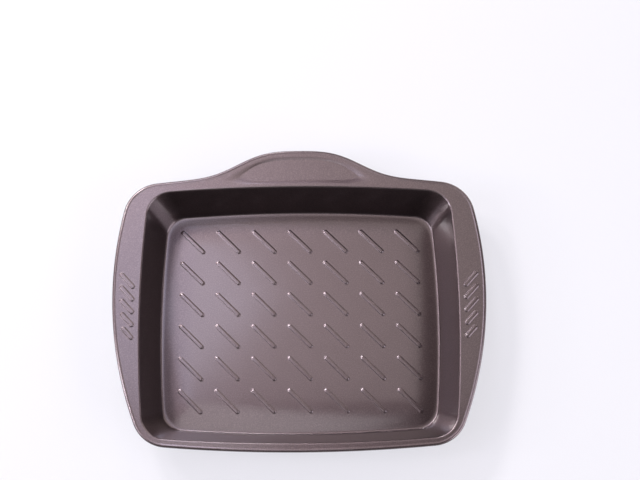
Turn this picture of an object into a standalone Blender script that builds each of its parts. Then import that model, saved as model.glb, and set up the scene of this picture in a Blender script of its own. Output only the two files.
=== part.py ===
"""Roasting dish: a pan pressed from one steel sheet, its edge curled round a steel wire.

Units are metres and +Z is up. +Y points to the back, where the flange swells into a hump.
The origin is the middle of the footprint, on the plane that the dish stands on.

The sheet is modelled by its upper skin: a loft from the tail of the curl, over the
flange and down the wall to the floor, with every rib as a raised pad in that skin.
Solidify then gives the skin the thickness of the sheet, so each rib is hollow below,
as a pressed rib is.
"""

import math

import bmesh
import bpy
from mathutils import Vector

# Sheet and wire
SHEET = 0.0008
WIRE_RADIUS = 0.0012
WIRE_CLEARANCE = 0.0003

# Well: the mouth at flange level, and the wall down to the line where the floor begins
WELL_DEPTH = 0.0485
MOUTH_HALF_WIDTH = 0.1737
MOUTH_HALF_DEPTH = 0.1426
MOUTH_CORNER = 0.0280
MOUTH_ROUND = 0.0022
SIDE_WALL_RUN = 0.0194
FRONT_WALL_RUN = 0.0172
BACK_WALL_RUN = 0.0188
FLOOR_CORNER = 0.0228
FLOOR_ROUND = 0.0024
WELL_SIDE_RADIUS = 1.22
WELL_END_RADIUS = 1.89

# Flange: its width on each side, the arcs of its outer edge and the arcs at its corners
GRIP_WIDTH = 0.0288
FRONT_FLANGE = 0.008
BACK_FLANGE = 0.0129
GRIP_WIDEST_Y = 0.0258
FLANGE_SIDE_RADIUS = 0.404
FLANGE_FRONT_RADIUS = 1.672
FLANGE_BACK_RADIUS = 1.369
FLANGE_FRONT_CORNER = 0.0386
FLANGE_BACK_CORNER = 0.0409

# Hump at the back of the flange, and the shallow panel pressed into it
HUMP_RISE = 0.0279
HUMP_REACH = 0.076
HUMP_STEEPNESS = 3.3
PANEL_BORDER = 0.0056
PANEL_MOUTH_SETBACK = 0.0010
PANEL_HALF_WIDTH = 0.084
PANEL_END_ROUND = 0.022
PANEL_BACK_LIP = 0.0052
PANEL_MOUTH_LIP = 0.0062
PANEL_END_LIP = 0.0200
PANEL_DEPTH = 0.0009

# Rolled edge: how far it stands above the flange, and the fillet at its foot
BEAD_PROUD = 0.0003
BEAD_FOOT_RADIUS = 0.002
CURL_TURN = math.radians(270)

# Floor: a flat foot all round, then a swell that rises ever more gently to the middle; its
# contours turn the corners as the foot does if they are this square (2 is a round arc)
FOOT_WIDTH = 0.0012
SWELL_RUN = 0.034
FLOOR_RISE = 0.0022
SWELL_SQUARENESS = 3.4

# Floor ribs, all slanting the same way, in a field that begins some way up the swell
FIELD_SETBACK = 0.0150
FIELD_CORNER = 0.005
FIELD_SIDE_RADIUS = 12.0
FIELD_END_RADIUS = 18.0
RIB_COLUMNS = 7
RIB_ROWS = 6
RIB_FIELD_MARGIN = 0.0021
RIB_SPAN = 0.0336
RIB_ANGLE = math.radians(-45)
RIB_WIDTH = 0.0056
RIB_CREST_WIDTH = 0.0024
RIB_HEIGHT = 0.0008

# Grip ribs, the left set a mirror of the right one
GRIP_RIB_COUNT = 5
GRIP_RIB_PITCH = 0.0140
GRIP_RIB_FIRST_Y = 0.0290
GRIP_RIB_MOUTH_SETBACK = 0.0068
GRIP_RIB_EDGE_SETBACK = 0.0104
GRIP_RIB_ANGLE = math.radians(48)
GRIP_RIB_WIDTH = 0.0060
GRIP_RIB_CREST_WIDTH = 0.0036
GRIP_RIB_HEIGHT = 0.0010

# How finely the curves are cut
FRONT_STEPS = 4
CORNER_STEPS = 6
SIDE_FRONT_STEPS = 4
SIDE_BACK_STEPS = 3
BACK_STEPS = 12
CURL_STEPS = 9
ROUND_STEPS = 3
SWELL_STEPS = 3
RIB_END_STEPS = 4
PANEL_LIP_STEPS = 2
PANEL_STEPS = 12
PANEL_END_STEPS = 4
PATCH_EDGE = 0.03
PATCH_ROUNDS = 3
WELD_DISTANCE = 0.000001
# It leans a little, because a fill that runs along the rows of ribs makes empty triangles
FILL_NORMAL = (0.01, 0.005, 1.0)
SLOPE_PROBE = 0.0005

# Sizes that follow from the ones above
BACK_REACH = MOUTH_HALF_DEPTH + BACK_FLANGE + HUMP_RISE
FRONT_REACH = MOUTH_HALF_DEPTH + FRONT_FLANGE
WELL_CENTRE_Y = (FRONT_REACH - BACK_REACH) / 2
FLOOR_HALF_WIDTH = MOUTH_HALF_WIDTH - SIDE_WALL_RUN
FLOOR_FRONT_REACH = MOUTH_HALF_DEPTH - FRONT_WALL_RUN
FLOOR_BACK_REACH = MOUTH_HALF_DEPTH - BACK_WALL_RUN
FIELD_HALF_WIDTH = FLOOR_HALF_WIDTH - FOOT_WIDTH - FIELD_SETBACK
FIELD_HALF_DEPTH = FLOOR_BACK_REACH - FOOT_WIDTH - FIELD_SETBACK
RIB_REACH_X = (RIB_SPAN * abs(math.cos(RIB_ANGLE)) + RIB_WIDTH) / 2
RIB_REACH_Y = (RIB_SPAN * abs(math.sin(RIB_ANGLE)) + RIB_WIDTH) / 2
CURL_STEP = CURL_TURN / CURL_STEPS
# The curl is a polygon, so its corners stand out for its flats to clear the wire
CURL_RADIUS = (WIRE_RADIUS + WIRE_CLEARANCE + SHEET) / math.cos(CURL_STEP / 2)
FOOT_Z = SHEET
FLANGE_Z = FOOT_Z + WELL_DEPTH
CURL_Z = FLANGE_Z + BEAD_PROUD - CURL_RADIUS

COLLECTION_NAME = "roasting_dish"
COATING_COLOUR = (0.105, 0.088, 0.09, 1.0)
WIRE_COLOUR = (0.56, 0.55, 0.54, 1.0)
SHARP_ANGLE = math.radians(35)


def arc(centre, radius, start, end, steps):
    """Points on an arc from start up to, and without, end."""
    return [
        Vector((
            centre.x + radius * math.cos(start + (end - start) * i / steps),
            centre.y + radius * math.sin(start + (end - start) * i / steps),
        ))
        for i in range(steps)
    ]


def corner_centre(side, side_radius, end, end_radius, corner, towards):
    """Centre of the corner arc that touches a side arc and an end arc from inside."""
    side_reach = side_radius - corner
    end_reach = end_radius - corner
    between = end - side
    gap = between.length
    along = (side_reach ** 2 - end_reach ** 2 + gap ** 2) / (2 * gap)
    across = math.sqrt(side_reach ** 2 - along ** 2)
    direction = between / gap
    normal = Vector((-direction.y, direction.x))
    base = side + direction * along
    choices = (base + normal * across, base - normal * across)
    return max(choices, key=lambda point: point.y * towards)


def angle_of(vector):
    return math.atan2(vector.y, vector.x)


class Outline:
    """A closed outline of four bowed sides and four round corners, alike left and right."""

    def __init__(self, half_width, widest_y, side_radius, front, back, corners, hump=0.0):
        front_reach, front_radius = front
        back_reach, back_radius = back
        self.hump = hump
        self.side_radius = side_radius
        self.side = Vector((half_width - side_radius, widest_y))
        self.front_radius = front_radius
        self.front = Vector((0.0, front_radius - front_reach))
        self.back_radius = back_radius
        self.back = Vector((0.0, back_reach - back_radius))
        self.corners = corners
        self.front_corner = corner_centre(
            self.side, side_radius, self.front, front_radius, corners[0], -1)
        self.back_corner = corner_centre(
            self.side, side_radius, self.back, back_radius, corners[1], 1)

    def back_y(self, x):
        """Place of the back edge at x, hump and all."""
        plain = self.back.y + math.sqrt(self.back_radius ** 2 - x ** 2)
        bell = math.exp(-(abs(x) / HUMP_REACH) ** HUMP_STEEPNESS)
        return plain + self.hump * bell

    def back_slope(self, x):
        """Steepness of the back edge at x."""
        return (self.back_y(x + SLOPE_PROBE) - self.back_y(x - SLOPE_PROBE)) / (2 * SLOPE_PROBE)

    def front_y(self, x):
        """Place of the front edge at x."""
        return self.front.y - math.sqrt(self.front_radius ** 2 - x ** 2)

    def side_x(self, y):
        """Distance of the right side from the middle at y."""
        return self.side.x + math.sqrt(self.side_radius ** 2 - (y - self.side.y) ** 2)

    def points(self):
        """All stations, from the front middle by the right side and round again."""
        front_turn = angle_of(self.front_corner - self.front)
        side_start = angle_of(self.front_corner - self.side)
        side_end = angle_of(self.back_corner - self.side)
        back_turn = angle_of(self.back_corner - self.back)
        front_r, back_r = self.corners
        half = arc(self.front, self.front_radius, -math.pi / 2, front_turn, FRONT_STEPS)
        half += arc(self.front_corner, front_r, front_turn, side_start, CORNER_STEPS)
        half += arc(self.side, self.side_radius, side_start, 0.0, SIDE_FRONT_STEPS)
        half += arc(self.side, self.side_radius, 0.0, side_end, SIDE_BACK_STEPS)
        half += arc(self.back_corner, back_r, side_end, back_turn, CORNER_STEPS)
        edge = arc(self.back, self.back_radius, back_turn, math.pi / 2, BACK_STEPS)
        half += [Vector((point.x, self.back_y(point.x))) for point in edge]
        middle = Vector((0.0, self.back_y(0.0)))
        mirrored = [Vector((-point.x, point.y)) for point in reversed(half[1:])]
        return half + [middle] + mirrored


FLANGE_EDGE = Outline(
    MOUTH_HALF_WIDTH + GRIP_WIDTH, GRIP_WIDEST_Y, FLANGE_SIDE_RADIUS,
    (FRONT_REACH, FLANGE_FRONT_RADIUS),
    (MOUTH_HALF_DEPTH + BACK_FLANGE, FLANGE_BACK_RADIUS),
    (FLANGE_FRONT_CORNER, FLANGE_BACK_CORNER), HUMP_RISE)
MOUTH = Outline(
    MOUTH_HALF_WIDTH, 0.0, WELL_SIDE_RADIUS,
    (MOUTH_HALF_DEPTH, WELL_END_RADIUS), (MOUTH_HALF_DEPTH, WELL_END_RADIUS),
    (MOUTH_CORNER, MOUTH_CORNER))
FLOOR_LINE = Outline(
    FLOOR_HALF_WIDTH, 0.0, WELL_SIDE_RADIUS,
    (FLOOR_FRONT_REACH, WELL_END_RADIUS), (FLOOR_BACK_REACH, WELL_END_RADIUS),
    (FLOOR_CORNER, FLOOR_CORNER))
FIELD = Outline(
    FIELD_HALF_WIDTH, 0.0, FIELD_SIDE_RADIUS,
    (FIELD_HALF_DEPTH, FIELD_END_RADIUS), (FIELD_HALF_DEPTH, FIELD_END_RADIUS),
    (FIELD_CORNER, FIELD_CORNER))


def inward(points):
    """Unit vectors pointing into a closed loop that runs anticlockwise."""
    count = len(points)
    normals = []
    for i in range(count):
        along = points[(i + 1) % count] - points[i - 1]
        normals.append(Vector((-along.y, along.x)).normalized())
    return normals


def offset(points, distance):
    return [point + normal * distance for point, normal in zip(points, inward(points))]


def floor_height(point):
    """Height of the floor: level in the middle, and falling ever faster towards the foot."""
    side_gap = FLOOR_LINE.side_x(point.y) - abs(point.x) - FOOT_WIDTH
    back_gap = FLOOR_LINE.back_y(point.x) - point.y - FOOT_WIDTH
    front_gap = point.y - FLOOR_LINE.front_y(point.x) - FOOT_WIDTH
    side_fall = max(0.0, 1.0 - side_gap / SWELL_RUN)
    end_fall = max(0.0, 1.0 - min(back_gap, front_gap) / SWELL_RUN)
    both = side_fall ** SWELL_SQUARENESS + end_fall ** SWELL_SQUARENESS
    return FOOT_Z + FLOOR_RISE * (1.0 - min(1.0, both ** (2 / SWELL_SQUARENESS)))


def flange_height(point):
    return FLANGE_Z


def add_loop(bm, points, z):
    """A closed ring of vertices; the well's middle is moved to its place in the footprint."""
    return [bm.verts.new((point.x, point.y + WELL_CENTRE_Y, z)) for point in points]


def drape_loop(bm, points, height_at, lift=0.0):
    """A closed ring of vertices that lies on a surface, or above it by lift."""
    return [
        bm.verts.new((point.x, point.y + WELL_CENTRE_Y, height_at(point) + lift))
        for point in points
    ]


def loft(bm, first, second):
    """Quads between two rings that have as many vertices as each other."""
    count = len(first)
    for i in range(count):
        j = (i + 1) % count
        bm.faces.new((first[i], first[j], second[j], second[i]))


def fill(bm, *loops):
    """Faces over a flat region whose border and holes are the given loops."""
    edges = []
    for loop in loops:
        for i, vertex in enumerate(loop):
            pair = (vertex, loop[(i + 1) % len(loop)])
            edges.append(bm.edges.get(pair) or bm.edges.new(pair))
    bmesh.ops.triangle_fill(bm, edges=edges, use_beauty=True, normal=FILL_NORMAL)


def drape_fill(bm, height_at, *loops):
    """Faces over a gently curved region whose border and holes are the given loops.

    A fill spans the region with flat triangles, so their long edges are cut in two, and
    each cut is laid on the surface. Welding joins the faces to what is round them.
    """
    patch = bmesh.new()
    fill(patch, *[[patch.verts.new(vertex.co) for vertex in loop] for loop in loops])
    for _ in range(PATCH_ROUNDS):
        inner = [edge for edge in patch.edges if not edge.is_boundary]
        long_edges = [edge for edge in inner if edge.calc_length() > PATCH_EDGE]
        cuts = bmesh.ops.bisect_edges(patch, edges=long_edges, cuts=1)["geom_split"]
        for item in cuts:
            if isinstance(item, bmesh.types.BMVert):
                item.co.z = height_at(Vector((item.co.x, item.co.y - WELL_CENTRE_Y)))
        bmesh.ops.triangulate(patch, faces=patch.faces)
        inner = [edge for edge in patch.edges if not edge.is_boundary]
        bmesh.ops.beautify_fill(patch, faces=patch.faces, edges=inner)
    mesh = bpy.data.meshes.new("patch")
    patch.to_mesh(mesh)
    patch.free()
    bm.from_mesh(mesh)
    bpy.data.meshes.remove(mesh)


def capsule(centre, span, angle, width):
    """Outline of a round-ended rib: span is the distance between its end centres.

    Each straight side has a point in its middle, so that the rib can follow a curved floor.
    """
    points = []
    for end, turn in ((1, -math.pi / 2), (-1, math.pi / 2)):
        along = Vector((math.cos(angle), math.sin(angle))) * (end * span / 2)
        for i in range(RIB_END_STEPS):
            swing = angle + turn + math.pi * i / (RIB_END_STEPS - 1)
            radius = Vector((math.cos(swing), math.sin(swing))) * (width / 2)
            points.append(centre + along + radius)
        points.append(centre + radius)
    return points


def add_rib(bm, centre, span, angle, height_at, width, crest_width, height):
    """A raised pad; its foot is returned, to be a hole in the surface round it."""
    foot = drape_loop(bm, capsule(centre, span, angle, width), height_at)
    crest = drape_loop(bm, capsule(centre, span, angle, crest_width), height_at, height)
    loft(bm, foot, crest)
    bm.faces.new(crest)
    return foot


def spread(reach, count, i):
    """Place of the one numbered i of count things spread evenly from -reach to reach."""
    if count == 1:
        return 0.0
    return reach * (2 * i / (count - 1) - 1)


def add_floor_ribs(bm):
    field_x = FIELD_HALF_WIDTH - RIB_FIELD_MARGIN - RIB_REACH_X
    field_y = FIELD_HALF_DEPTH - RIB_FIELD_MARGIN - RIB_REACH_Y
    feet = []
    for row in range(RIB_ROWS):
        for column in range(RIB_COLUMNS):
            centre = Vector((
                spread(field_x, RIB_COLUMNS, column), spread(field_y, RIB_ROWS, row)))
            feet.append(add_rib(bm, centre, RIB_SPAN, RIB_ANGLE, floor_height,
                                RIB_WIDTH, RIB_CREST_WIDTH, RIB_HEIGHT))
    return feet


def add_grip_ribs(bm):
    """Five ribs a side: inner ends in a row beside the mouth, outer ends along the edge."""
    feet = []
    inner_x = MOUTH_HALF_WIDTH + GRIP_RIB_MOUTH_SETBACK
    for i in range(GRIP_RIB_COUNT):
        inner_y = GRIP_RIB_FIRST_Y - i * GRIP_RIB_PITCH
        reach = FLANGE_EDGE.side_x(inner_y) - GRIP_RIB_EDGE_SETBACK - inner_x
        span = reach / math.cos(GRIP_RIB_ANGLE)
        for side in (1, -1):
            angle = GRIP_RIB_ANGLE if side == 1 else math.pi - GRIP_RIB_ANGLE
            half = Vector((math.cos(angle), math.sin(angle))) * (span / 2)
            centre = Vector((side * inner_x, inner_y)) + half
            feet.append(add_rib(bm, centre, span, angle, flange_height,
                                GRIP_RIB_WIDTH, GRIP_RIB_CREST_WIDTH, GRIP_RIB_HEIGHT))
    return feet


def panel_outline(share):
    """A line round the hump's panel, from its rim at share 0 to its floor at share 1.

    Its back follows the hump and its front the mouth; the lip is widest at the ends.
    """
    end_x = PANEL_HALF_WIDTH - PANEL_END_LIP * share
    straight_x = end_x - PANEL_END_ROUND
    turns = [math.pi / 2 * i / PANEL_END_STEPS for i in range(PANEL_END_STEPS)]
    spots = [(straight_x + PANEL_END_ROUND * math.cos(turn), math.sin(turn)) for turn in turns]
    spots += [(straight_x - 2 * straight_x * i / PANEL_STEPS, 1.0) for i in range(PANEL_STEPS + 1)]
    spots += [(-x, width_share) for x, width_share in reversed(spots[:PANEL_END_STEPS])]
    border = PANEL_BORDER + PANEL_BACK_LIP * share
    setback = PANEL_MOUTH_SETBACK + PANEL_MOUTH_LIP * share
    upper = []
    lower = []
    for x, width_share in spots:
        high = FLANGE_EDGE.back_y(x) - border * math.hypot(1.0, FLANGE_EDGE.back_slope(x))
        low = MOUTH.back_y(x) + setback
        middle = (high + low) / 2
        half = (high - low) / 2 * width_share
        upper.append(Vector((x, middle + half)))
        lower.append(Vector((x, middle - half)))
    return upper + lower[-2:0:-1]


def add_panel(bm):
    """The sunken panel, rounded off at its rim; that rim is returned, to be a hole in the flange."""
    rings = []
    for i in range(PANEL_LIP_STEPS + 1):
        share = i / PANEL_LIP_STEPS
        height = FLANGE_Z - PANEL_DEPTH * share ** 2
        rings.append(add_loop(bm, panel_outline(share), height))
    for outer, inner in zip(rings, rings[1:]):
        loft(bm, outer, inner)
    fill(bm, rings[-1])
    return rings[0]


def add_rolled_edge(bm):
    """The curl, from its tail under the flange to its foot on top of it."""
    edge = FLANGE_EDGE.points()
    rings = []
    for i in range(CURL_STEPS + 1):
        swing = math.pi / 2 - CURL_TURN + i * CURL_STEP
        distance = CURL_RADIUS * (1 - math.cos(swing))
        height = CURL_Z + CURL_RADIUS * math.sin(swing)
        rings.append(add_loop(bm, offset(edge, distance), height))
    both = CURL_RADIUS + BEAD_FOOT_RADIUS
    lean = math.acos(1 - BEAD_PROUD / both)
    shoulder = CURL_RADIUS * (1 + math.sin(lean))
    shoulder_z = CURL_Z + CURL_RADIUS * math.cos(lean)
    rings.append(add_loop(bm, offset(edge, shoulder), shoulder_z))
    foot = CURL_RADIUS + both * math.sin(lean)
    rings.append(add_loop(bm, offset(edge, foot), FLANGE_Z))
    for outer, inner in zip(rings, rings[1:]):
        loft(bm, outer, inner)
    return rings[-1]


def wall_section(run):
    """Shares of the run, and drops, of a wall that bends at its top and its bottom."""
    rounds = MOUTH_ROUND + FLOOR_ROUND
    rise = WELL_DEPTH - rounds
    straight = math.sqrt(run ** 2 + rise ** 2 - rounds ** 2)
    steepness = math.atan2(rise, run) + math.atan2(rounds, straight)
    turns = [steepness * i / ROUND_STEPS for i in range(ROUND_STEPS + 1)]
    top = [(MOUTH_ROUND * math.sin(turn), MOUTH_ROUND * (1 - math.cos(turn))) for turn in turns]
    bottom = [
        (run - FLOOR_ROUND * math.sin(turn), WELL_DEPTH - FLOOR_ROUND * (1 - math.cos(turn)))
        for turn in reversed(turns)
    ]
    return [(distance / run, drop) for distance, drop in top + bottom]


def add_wall(bm):
    """The drafted wall, with the bend at the mouth and the one at the floor."""
    mouth = MOUTH.points()
    floor = FLOOR_LINE.points()
    sections = [wall_section((b - a).length) for a, b in zip(mouth, floor)]
    rings = []
    for level in range(2 * (ROUND_STEPS + 1)):
        ring = []
        for a, b, section in zip(mouth, floor, sections):
            share, drop = section[level]
            point = a.lerp(b, share)
            ring.append(bm.verts.new((point.x, point.y + WELL_CENTRE_Y, FLANGE_Z - drop)))
        rings.append(ring)
    for upper, lower in zip(rings, rings[1:]):
        loft(bm, upper, lower)
    return rings[0], rings[-1]


def add_swell(bm, wall_foot):
    """The flat foot that the dish stands on, and the swell up to the edge of the rib field."""
    foot = offset(FLOOR_LINE.points(), FOOT_WIDTH)
    field = FIELD.points()
    rings = [wall_foot, add_loop(bm, foot, FOOT_Z)]
    for i in range(1, SWELL_STEPS + 1):
        spots = [a.lerp(b, i / SWELL_STEPS) for a, b in zip(foot, field)]
        rings.append(drape_loop(bm, spots, floor_height))
    for outer, inner in zip(rings, rings[1:]):
        loft(bm, outer, inner)
    return rings[-1]


def make_material(name, colour, roughness, metallic):
    material = bpy.data.materials.new(name)
    material.use_nodes = True
    shader = material.node_tree.nodes["Principled BSDF"]
    shader.inputs["Base Color"].default_value = colour
    shader.inputs["Roughness"].default_value = roughness
    shader.inputs["Metallic"].default_value = metallic
    material.diffuse_color = colour
    return material


def make_pan(collection):
    bm = bmesh.new()
    bead_foot = add_rolled_edge(bm)
    mouth, wall_foot = add_wall(bm)
    fill(bm, bead_foot, mouth, add_panel(bm), *add_grip_ribs(bm))
    field_edge = add_swell(bm, wall_foot)
    drape_fill(bm, floor_height, field_edge, *add_floor_ribs(bm))
    bmesh.ops.remove_doubles(bm, verts=bm.verts, dist=WELD_DISTANCE)
    bmesh.ops.recalc_face_normals(bm, faces=bm.faces)
    lowest = min(bm.faces, key=lambda face: face.calc_center_median().z)
    if lowest.normal.z < 0:
        bmesh.ops.reverse_faces(bm, faces=bm.faces)

    mesh = bpy.data.meshes.new("pressed_pan")
    bm.to_mesh(mesh)
    bm.free()
    mesh.shade_smooth()
    mesh.set_sharp_from_angle(angle=SHARP_ANGLE)
    mesh.materials.append(make_material("non_stick_coating", COATING_COLOUR, 0.38, 0.25))
    pan = bpy.data.objects.new("pressed_pan", mesh)
    collection.objects.link(pan)

    sheet = pan.modifiers.new("sheet", "SOLIDIFY")
    sheet.thickness = SHEET
    sheet.offset = -1.0
    sheet.use_even_offset = True
    sheet.use_quality_normals = True
    sheet.use_rim = True
    return pan


def make_wire(collection):
    """The ring of wire that the edge is curled round, on the curl's own centre line."""
    curve = bpy.data.curves.new("rim_wire", "CURVE")
    curve.dimensions = "3D"
    curve.twist_mode = "Z_UP"
    curve.bevel_depth = WIRE_RADIUS
    curve.bevel_resolution = 2
    curve.use_fill_caps = True
    centre_line = offset(FLANGE_EDGE.points(), CURL_RADIUS)
    spline = curve.splines.new("POLY")
    spline.points.add(len(centre_line) - 1)
    for spot, point in zip(spline.points, centre_line):
        spot.co = (point.x, point.y + WELL_CENTRE_Y, CURL_Z, 1.0)
    spline.use_cyclic_u = True
    spline.use_smooth = True
    curve.materials.append(make_material("galvanised_wire", WIRE_COLOUR, 0.35, 1.0))
    wire = bpy.data.objects.new("rim_wire", curve)
    collection.objects.link(wire)
    return wire


def main():
    for item in list(bpy.data.objects):
        bpy.data.objects.remove(item, do_unlink=True)
    collection = bpy.data.collections.new(COLLECTION_NAME)
    bpy.context.scene.collection.children.link(collection)
    make_pan(collection)
    make_wire(collection)


main()
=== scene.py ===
# %% [markdown]
# # A non-stick roasting dish, dressed round its frame
#
# A roasting dish is one sheet of thin steel. A press draws the well, stamps the ribs and
# the panel on the hump, and a last tool curls the edge round a ring of wire. The sheet
# is then sprayed with a satin coating and baked. This lesson makes those two pieces as
# fine meshes, in the place that the frame gives them, and gives each its finish.
#
# First the frame. It holds the plain solids at their real size, in metres, with +Z up
# and +Y to the back. Everything that follows is fitted to its box.

import math

import bmesh
import bpy
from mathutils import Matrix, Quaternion, Vector


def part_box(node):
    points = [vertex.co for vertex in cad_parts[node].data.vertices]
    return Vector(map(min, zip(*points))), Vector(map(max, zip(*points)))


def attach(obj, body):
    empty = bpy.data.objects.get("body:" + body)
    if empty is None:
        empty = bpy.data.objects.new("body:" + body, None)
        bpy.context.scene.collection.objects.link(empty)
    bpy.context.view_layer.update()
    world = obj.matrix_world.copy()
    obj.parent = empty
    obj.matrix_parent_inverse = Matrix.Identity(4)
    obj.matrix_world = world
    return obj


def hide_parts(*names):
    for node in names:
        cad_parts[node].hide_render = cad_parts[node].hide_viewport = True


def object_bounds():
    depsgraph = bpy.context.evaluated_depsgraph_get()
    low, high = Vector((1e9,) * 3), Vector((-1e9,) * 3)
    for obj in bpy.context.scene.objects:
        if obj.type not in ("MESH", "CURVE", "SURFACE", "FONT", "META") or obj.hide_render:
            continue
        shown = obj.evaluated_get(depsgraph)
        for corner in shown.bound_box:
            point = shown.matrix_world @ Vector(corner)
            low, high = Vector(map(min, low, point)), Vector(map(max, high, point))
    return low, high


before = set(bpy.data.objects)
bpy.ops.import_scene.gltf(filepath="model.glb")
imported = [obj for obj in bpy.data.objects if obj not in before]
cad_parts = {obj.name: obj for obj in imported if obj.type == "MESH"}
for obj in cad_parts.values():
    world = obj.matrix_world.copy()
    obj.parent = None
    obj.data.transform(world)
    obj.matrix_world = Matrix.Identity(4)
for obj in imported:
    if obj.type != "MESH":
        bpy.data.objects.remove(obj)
cad_low, cad_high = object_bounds()
wire_low, wire_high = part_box("rim_wire")
MM = 1000


def box_mm(low, high):
    """The three sides of a box, in millimetres."""
    return [round(MM * (b - a), 1) for a, b in zip(low, high)]


print("frame box, mm:", box_mm(cad_low, cad_high))

# %% [markdown]
# ## The camera
#
# The camera stands almost straight above the dish, a little towards its front. It could
# be placed by eye, but the dish's many ribs and corners fix it better: the values below
# are the ones that put them where the photograph has them. The picture's middle isn't
# the lens's middle, because the photograph is framed low, and that is what a lens shift
# is for. The picture is 640 pixels wide, and a sensor 36 mm wide stands for that width.

# %% Place the camera
IMAGE_WIDTH_PX = 640
FOCAL_LENGTH_PX = 1076
FRAMING_DROP_PX = 60
SENSOR_WIDTH_MM = 36.0
CAMERA_TARGET = Vector((0.0224, 0.0070, 0.0008))
CAMERA_DISTANCE = 1.211
CAMERA_ELEVATION = math.radians(77.5)
CAMERA_HEADING = math.radians(0.14)
CAMERA_ROLL = math.radians(-0.25)


def look_direction(heading, elevation):
    """Unit vector of a view that looks down by elevation; heading turns from +Y to +X."""
    level = math.cos(elevation)
    return Vector((
        math.sin(heading) * level, math.cos(heading) * level, -math.sin(elevation)))


def add_camera():
    data = bpy.data.cameras.new("photo_camera")
    data.sensor_width = SENSOR_WIDTH_MM
    data.lens = FOCAL_LENGTH_PX / IMAGE_WIDTH_PX * SENSOR_WIDTH_MM
    data.shift_y = FRAMING_DROP_PX / IMAGE_WIDTH_PX
    camera = bpy.data.objects.new("photo_camera", data)
    look = look_direction(CAMERA_HEADING, CAMERA_ELEVATION)
    camera.location = CAMERA_TARGET - look * CAMERA_DISTANCE
    camera.rotation_mode = "QUATERNION"
    level_view = look.to_track_quat("-Z", "Y")
    camera.rotation_quaternion = level_view @ Quaternion((0.0, 0.0, 1.0), CAMERA_ROLL)
    bpy.context.scene.collection.objects.link(camera)
    bpy.context.scene.camera = camera
    return camera


camera = add_camera()
print("camera height, m:", round(camera.location.z, 3))

# %% [markdown]
# ## The outlines
#
# Seen from above, the dish is a set of closed outlines, one inside another: the edge of
# the flange, the mouth of the well, the line where the floor begins, and the field that
# the floor's ribs stand in. Each is four shallow arcs joined by four corner arcs, because
# a press tool is cut that way and because a bowed side is stiffer than a straight one. A
# spline through picked points would do, but arcs stay smooth and their radii mean
# something. All four outlines have the same number of stations, so that any two of
# them can be joined by a strip of quads.

# %% Arcs
FRONT_STEPS = 9
CORNER_STEPS = 16
SIDE_FRONT_STEPS = 16
SIDE_BACK_STEPS = 13
BACK_STEPS = 40


def arc(centre, radius, start, end, steps):
    """Points on an arc from start up to, and without, end."""
    turns = [start + (end - start) * i / steps for i in range(steps)]
    return [centre + Vector((math.cos(turn), math.sin(turn))) * radius for turn in turns]


def heading(vector):
    return math.atan2(vector.y, vector.x)


print("a corner turns about", round(90 / CORNER_STEPS, 1), "degrees at each step")

# %% [markdown]
# A corner arc touches both its neighbours from inside. So its centre lies as far from
# each neighbour's centre as that arc's radius less its own. Two circles of those radii
# cross twice, and the crossing on the corner's side is the one that is meant.

# %% Outlines
HUMP_REACH = 0.076
HUMP_STEEPNESS = 3.3
SLOPE_PROBE = 0.0005


def corner_centre(side, side_radius, end, end_radius, corner, towards):
    """Centre of the corner arc that touches a side arc and an end arc from inside."""
    side_reach = side_radius - corner
    end_reach = end_radius - corner
    between = end - side
    gap = between.length
    along = (side_reach ** 2 - end_reach ** 2 + gap ** 2) / (2 * gap)
    across = math.sqrt(side_reach ** 2 - along ** 2)
    base = side + between / gap * along
    step = Vector((-between.y, between.x)) / gap * across
    return max((base + step, base - step), key=lambda point: point.y * towards)


class Outline:
    """Four bowed sides and four round corners, alike left and right.

    Its plane has the middle of the well as origin. front and back are each a reach and
    a radius, and corners are the radii of the front and the back corners. A hump of the
    height given swells the back side.
    """

    def __init__(self, half_width, widest_y, side_radius, front, back, corners, hump=0.0):
        self.side_radius = side_radius
        self.side = Vector((half_width - side_radius, widest_y))
        self.front_radius = front[1]
        self.front = Vector((0.0, front[1] - front[0]))
        self.back_radius = back[1]
        self.back = Vector((0.0, back[0] - back[1]))
        self.corners = corners
        self.hump = hump
        self.front_corner = corner_centre(
            self.side, side_radius, self.front, front[1], corners[0], -1)
        self.back_corner = corner_centre(
            self.side, side_radius, self.back, back[1], corners[1], 1)

    def back_y(self, x):
        plain = self.back.y + math.sqrt(self.back_radius ** 2 - x ** 2)
        return plain + self.hump * math.exp(-(abs(x) / HUMP_REACH) ** HUMP_STEEPNESS)

    def back_slope(self, x):
        step = self.back_y(x + SLOPE_PROBE) - self.back_y(x - SLOPE_PROBE)
        return step / (2 * SLOPE_PROBE)

    def front_y(self, x):
        return self.front.y - math.sqrt(self.front_radius ** 2 - x ** 2)

    def side_x(self, y):
        return self.side.x + math.sqrt(self.side_radius ** 2 - (y - self.side.y) ** 2)

    def points(self):
        """The stations, from the front middle by the right side and round again."""
        front_turn = heading(self.front_corner - self.front)
        side_start = heading(self.front_corner - self.side)
        side_end = heading(self.back_corner - self.side)
        back_turn = heading(self.back_corner - self.back)
        right = arc(self.front, self.front_radius, -math.pi / 2, front_turn, FRONT_STEPS)
        right += arc(self.front_corner, self.corners[0], front_turn, side_start, CORNER_STEPS)
        right += arc(self.side, self.side_radius, side_start, 0.0, SIDE_FRONT_STEPS)
        right += arc(self.side, self.side_radius, 0.0, side_end, SIDE_BACK_STEPS)
        right += arc(self.back_corner, self.corners[1], side_end, back_turn, CORNER_STEPS)
        edge = arc(self.back, self.back_radius, back_turn, math.pi / 2, BACK_STEPS)
        right += [Vector((point.x, self.back_y(point.x))) for point in edge]
        middle = Vector((0.0, self.back_y(0.0)))
        left = [Vector((-point.x, point.y)) for point in reversed(right[1:])]
        return right + [middle] + left


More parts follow.
